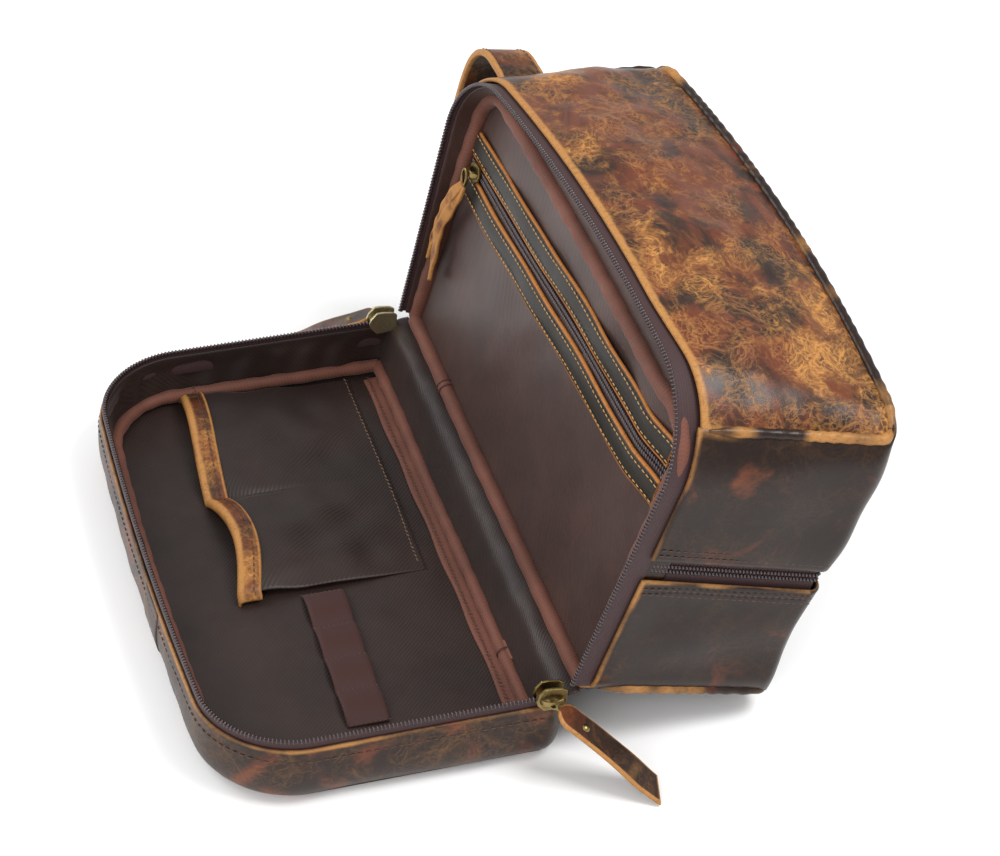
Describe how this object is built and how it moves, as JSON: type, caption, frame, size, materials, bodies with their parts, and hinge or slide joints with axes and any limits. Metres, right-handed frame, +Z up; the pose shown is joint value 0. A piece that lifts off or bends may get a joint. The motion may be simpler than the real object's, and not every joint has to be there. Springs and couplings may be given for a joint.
{
  "type": "shaving kit bag",
  "caption": "Leather shaving kit bag, zipped open: a shallow organizer tray with slip pockets and loops, hinged to a body with a zip pocket, a zip mouth and an end handle.",
  "frame": {"origin": "on the surface, under the middle of the bag's bounding box", "axes": "+Z up; +X along the hinge towards the end with the visible pull; +Y from the tray towards the body"},
  "size_m": [0.3212, 0.2731, 0.1753],
  "materials": {
    "aged_leather": "waxed, marbled",
    "dark_leather": "waxed, smooth",
    "tan_leather": "waxed",
    "trim_leather": "waxed",
    "lining_twill": "satin twill",
    "piping_twill": "twill",
    "elastic_webbing": "woven",
    "zip_tape": "woven",
    "zip_coil": "satin",
    "antique_brass": "antique",
    "pale_brass": "brushed",
    "stiffener": "matte",
    "foam": "open cell"
  },
  "bodies": {
    "bag_body": {"upper_side_panel": "aged_leather", "lower_side_panel": "dark_leather", "upper_gusset": "dark_leather", "lower_gusset": "dark_leather", "zip_end_tabs": "dark_leather", "upper_seam_piping": "dark_leather", "lower_seam_piping": "dark_leather", "frame_zip_tape": "zip_tape", "frame_zip_coil": "zip_coil", "frame_lining": "lining_twill", "divider_lining": "lining_twill", "divider_board": "stiffener", "divider_piping": "piping_twill", "divider_piping_ring": "piping_twill", "pocket_bag": "lining_twill", "pocket_zip_coil": "zip_coil", "pocket_zip_tape": "zip_tape", "pocket_trim_upper": "trim_leather", "pocket_trim_lower": "trim_leather", "hinge_strip": "dark_leather", "end_zip_coils": "zip_coil", "end_zip_tapes": "zip_tape", "handle_strap": "tan_leather"},
    "organizer_flap": {"tray_base_panel": "dark_leather", "tray_wall": "dark_leather", "tray_wall_overlap": "dark_leather", "tray_zip_tape": "zip_tape", "tray_zip_coil": "zip_coil", "tray_floor_board": "stiffener", "tray_floor_foam": "foam", "tray_floor_lining": "lining_twill", "tray_wall_lining": "lining_twill", "tray_floor_piping": "piping_twill", "piping_wrap_tab": "piping_twill", "hinge_gusset_tray_half": "lining_twill", "slip_pocket_panel": "lining_twill", "slip_pocket_trim": "tan_leather", "elastic_loop_strip": "elastic_webbing"},
    "mouth_flap_upper_body": {"mouth_flap_upper": "dark_leather", "mouth_zip_upper": "zip_tape"},
    "mouth_flap_lower_body": {"mouth_flap_lower": "dark_leather", "mouth_zip_lower": "zip_tape"},
    "near_slider_body": {"near_slider": "antique_brass"},
    "near_pull": {"near_pull_link": "antique_brass", "near_pull_tab": "trim_leather", "near_pull_rivet": "antique_brass"},
    "far_slider_body": {"far_slider": "pale_brass"},
    "far_pull": {"far_pull_link": "antique_brass", "far_pull_tab": "trim_leather", "far_pull_rivet": "antique_brass"},
    "pocket_slider_body": {"pocket_slider": "antique_brass"},
    "pocket_pull": {"pocket_pull_link": "antique_brass", "pocket_pull_thong": "tan_leather"},
    "main_slider_body": {"main_slider": "antique_brass"},
    "main_pull": {"main_pull_link": "antique_brass", "main_pull_tab": "trim_leather", "main_pull_rivet": "antique_brass"}
  },
  "joints": [
    {"name": "flap_hinge", "type": "hinge", "parent": "bag_body", "child": "organizer_flap", "pos_m": [0, 0.01111, 0.0345], "axis": [1, 0, 0], "range_deg": [-103.43, 30]},
    {"name": "upper_mouth_fold", "type": "hinge", "parent": "bag_body", "child": "mouth_flap_upper_body", "pos_m": [0, 0.12893, 0.13179], "axis": [1, 0, 0], "range_deg": [0, 100]},
    {"name": "lower_mouth_fold", "type": "hinge", "parent": "bag_body", "child": "mouth_flap_lower_body", "pos_m": [0, 0.10291, 0.02286], "axis": [-1, 0, 0], "range_deg": [0, 85]},
    {"name": "near_slider_travel", "type": "slide", "parent": "organizer_flap", "child": "near_slider_body", "axis": [0, -1, 0], "range_m": [0, 0.088]},
    {"name": "near_pull_swing", "type": "hinge", "parent": "near_slider_body", "child": "near_pull", "pos_m": [0.1284, 0.00411, 0.0345], "axis": [0.8192, -0.5736, 0], "range_deg": [0, 100]},
    {"name": "far_slider_travel", "type": "slide", "parent": "organizer_flap", "child": "far_slider_body", "axis": [0, -1, 0], "range_m": [0, 0.088]},
    {"name": "far_pull_swing", "type": "hinge", "parent": "far_slider_body", "child": "far_pull", "pos_m": [-0.1284, 0.00411, 0.0345], "axis": [-0.8192, 0.5736, 0], "range_deg": [0, 100]},
    {"name": "pocket_slider_travel", "type": "slide", "parent": "bag_body", "child": "pocket_slider_body", "axis": [0.9982, 0.014, 0.0585], "range_m": [0, 0.19]},
    {"name": "pocket_pull_swing", "type": "hinge", "parent": "pocket_slider_body", "child": "pocket_pull", "pos_m": [-0.10082, 0.03596, 0.12307], "axis": [0, -0.9726, 0.2323], "range_deg": [-12, 28]},
    {"name": "main_slider_travel", "type": "slide", "parent": "bag_body", "child": "main_slider_body", "axis": [1, 0, 0], "range_m": [0, 0.2148]},
    {"name": "main_pull_swing", "type": "hinge", "parent": "main_slider_body", "child": "main_pull", "pos_m": [-0.1074, 0.11923, 0.07654], "axis": [0, 0.9726, -0.2323], "range_deg": [-85, 85]}
  ]
}
